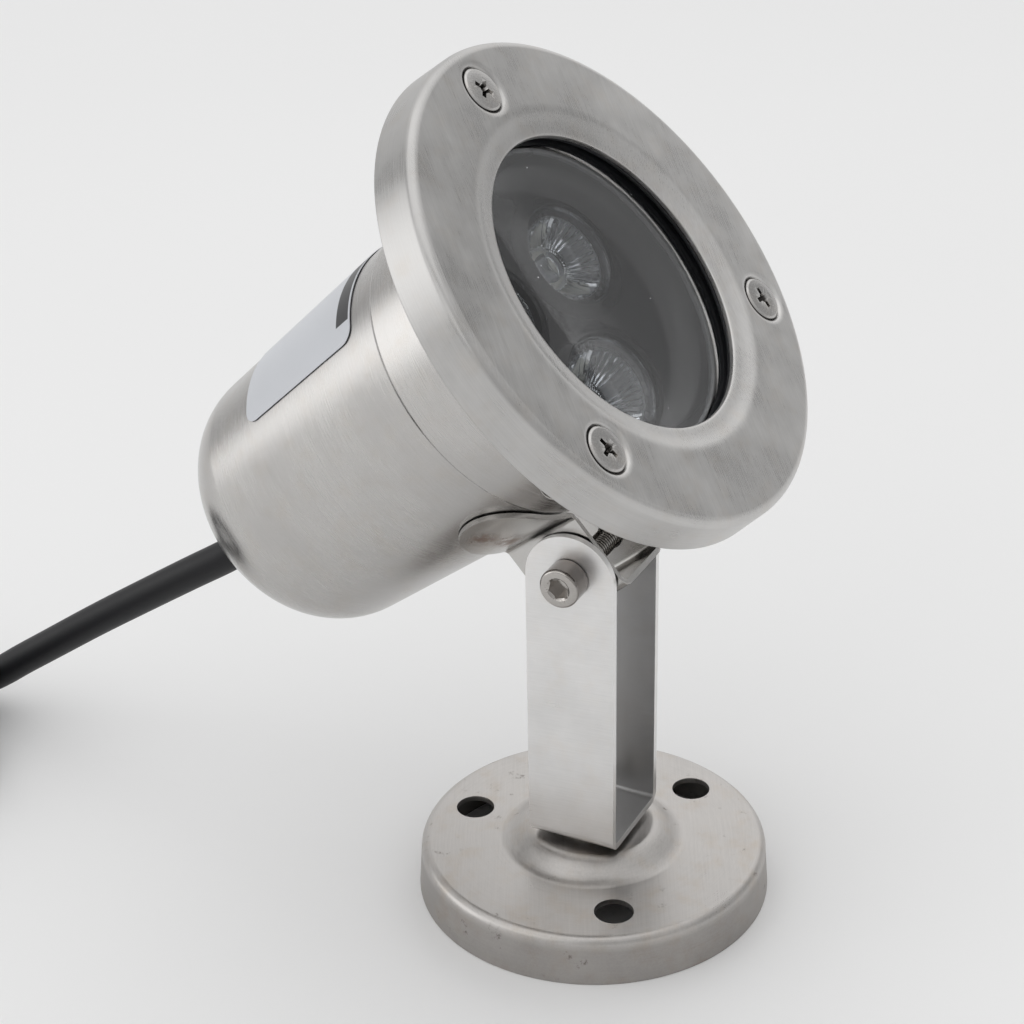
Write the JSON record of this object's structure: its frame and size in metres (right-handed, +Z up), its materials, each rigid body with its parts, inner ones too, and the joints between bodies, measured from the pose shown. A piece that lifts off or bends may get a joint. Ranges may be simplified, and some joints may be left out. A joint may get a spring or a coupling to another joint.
{
  "type": "underwater pond light",
  "caption": "Stainless steel spot lamp with a lensed light engine behind glass, tilting on a U bracket that swivels on a round foot, with its cable.",
  "frame": {"origin": "centre of the lamp's box on the plane the foot stands on, without the cable", "axes": "+Z up; +X along the tilt bolt towards its lock nut; the lamp shines towards -Y and up; the cable leaves towards +Y"},
  "size_m": [0.1423, 0.2744, 0.1795],
  "materials": {
    "foot_steel": "satin stainless sheet, worn and slightly tarnished",
    "bright_fastener": "bright stainless",
    "bracket_steel": "fine satin stainless sheet",
    "satin_steel": "brushed stainless sheet, brushed round the axis",
    "cable_rubber": "matte black cable jacket",
    "tie_black": "matte black tie",
    "core_brown": "brown core insulation",
    "core_blue": "blue core insulation",
    "black_rubber": "black seal rubber",
    "window_glass": "clear tempered glass",
    "potting_resin": "dark potting resin, smooth",
    "clear_lens": "clear moulded lens",
    "lens_holder": "black holder",
    "led_phosphor": "yellow phosphor",
    "board_white": "white solder mask",
    "aluminium": "turned aluminium",
    "label_film": "pale blue-grey label film"
  },
  "bodies": {
    "base": {"base_plate": "foot_steel", "pivot_screw": "bright_fastener", "spacer_washer": "bright_fastener", "under_washer": "bright_fastener", "pivot_nut": "bright_fastener"},
    "bracket": {"u_bracket": "bracket_steel", "tilt_bolt": "bright_fastener", "tilt_washer": "bright_fastener", "tilt_lock_nut": "bright_fastener", "cable_lead": "cable_rubber", "cable_coil": "cable_rubber", "coil_tie": "tie_black", "core_brown": "core_brown", "core_blue": "core_blue"},
    "head": {"body_shell": "satin_steel", "bezel_ring": "satin_steel", "bezel_screw_1": "bright_fastener", "bezel_screw_2": "bright_fastener", "bezel_screw_3": "bright_fastener", "weld_nut_1": "satin_steel", "weld_nut_2": "satin_steel", "weld_nut_3": "satin_steel", "window_gasket": "black_rubber", "window_glass": "window_glass", "potting_resin": "potting_resin", "lens_1": "clear_lens", "lens_2": "clear_lens", "lens_3": "clear_lens", "lens_holder_1": "lens_holder", "lens_holder_2": "lens_holder", "lens_holder_3": "lens_holder", "led_1": "led_phosphor", "led_2": "led_phosphor", "led_3": "led_phosphor", "led_board": "board_white", "heat_sink": "aluminium", "board_screw": "bright_fastener", "driver_board": "board_white", "driver_choke": "bright_fastener", "driver_capacitor": "black_rubber", "gland_washer": "black_rubber", "gland_body": "bright_fastener", "gland_lock_nut": "bright_fastener", "gland_seal": "black_rubber", "gland_nut": "bright_fastener", "cable_inner": "cable_rubber", "rating_label": "label_film", "yoke_strap": "satin_steel"}
  },
  "joints": [
    {"name": "swivel", "type": "hinge", "parent": "base", "child": "bracket", "pos_m": [0, -0.0238, 0.0145], "axis": [0, 0, 1], "range_deg": [-180, 180]},
    {"name": "tilt", "type": "hinge", "parent": "bracket", "child": "head", "pos_m": [0, -0.0238, 0.0795], "axis": [-1, 0, 0], "range_deg": [-85, 29], "deforming": ["cable_lead"]}
  ]
}
